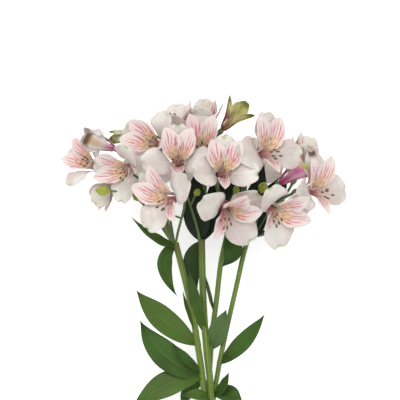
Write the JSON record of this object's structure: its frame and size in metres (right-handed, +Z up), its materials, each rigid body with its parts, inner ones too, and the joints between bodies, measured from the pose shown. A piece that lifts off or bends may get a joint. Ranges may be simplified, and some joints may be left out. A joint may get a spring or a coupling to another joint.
{
  "type": "bunch of cut alstroemeria stems",
  "caption": "Cut stems of white and pink streaked alstroemeria with leaves and buds, gathered in an elastic band and laid down.",
  "frame": {"origin": "middle of the bunch's bounding box on the surface that it lies on", "axes": "+Z up, +Y along the stems from the cut ends to the flowers, +X across the bunch"},
  "size_m": [0.2514, 0.477, 0.125],
  "materials": {
    "foliage": "waxy leaf green with parallel veins, stalks yellower",
    "petal": "satin white to pale pink, rose throat, inner petals with yellow blotch and dark red dashes",
    "opening_petal": "satin cream and green, magenta or red-brown at the base",
    "stamen": "matt pale filaments with olive-brown anthers",
    "elastic": "matt natural rubber"
  },
  "bodies": {
    "root": {"stem_left": "foliage", "stem_middle": "foliage", "stem_right": "foliage", "stem_far_right": "foliage", "bloom_01": "petal", "bloom_02": "petal", "bloom_03": "petal", "bloom_04": "petal", "bloom_05": "petal", "bloom_06": "petal", "bloom_07": "petal", "bloom_08": "petal", "bloom_09": "petal", "bloom_10": "petal", "bloom_11": "petal", "bloom_12": "petal", "bloom_13": "petal", "bloom_14": "petal", "bloom_15": "petal", "bloom_16": "petal", "bloom_17": "petal", "bloom_18": "petal", "opening_bloom_1": "opening_petal", "opening_bloom_2": "opening_petal", "opening_bloom_3": "opening_petal", "opening_bloom_4": "opening_petal", "stamens_01": "stamen", "stamens_02": "stamen", "stamens_03": "stamen", "stamens_04": "stamen", "stamens_05": "stamen", "stamens_06": "stamen", "stamens_07": "stamen", "stamens_08": "stamen", "stamens_09": "stamen", "stamens_10": "stamen", "stamens_11": "stamen", "stamens_12": "stamen", "stamens_13": "stamen", "stamens_14": "stamen", "stamens_15": "stamen", "stamens_16": "stamen", "stamens_17": "stamen", "stamens_18": "stamen", "tie": "elastic"}
  },
  "joints": []
}
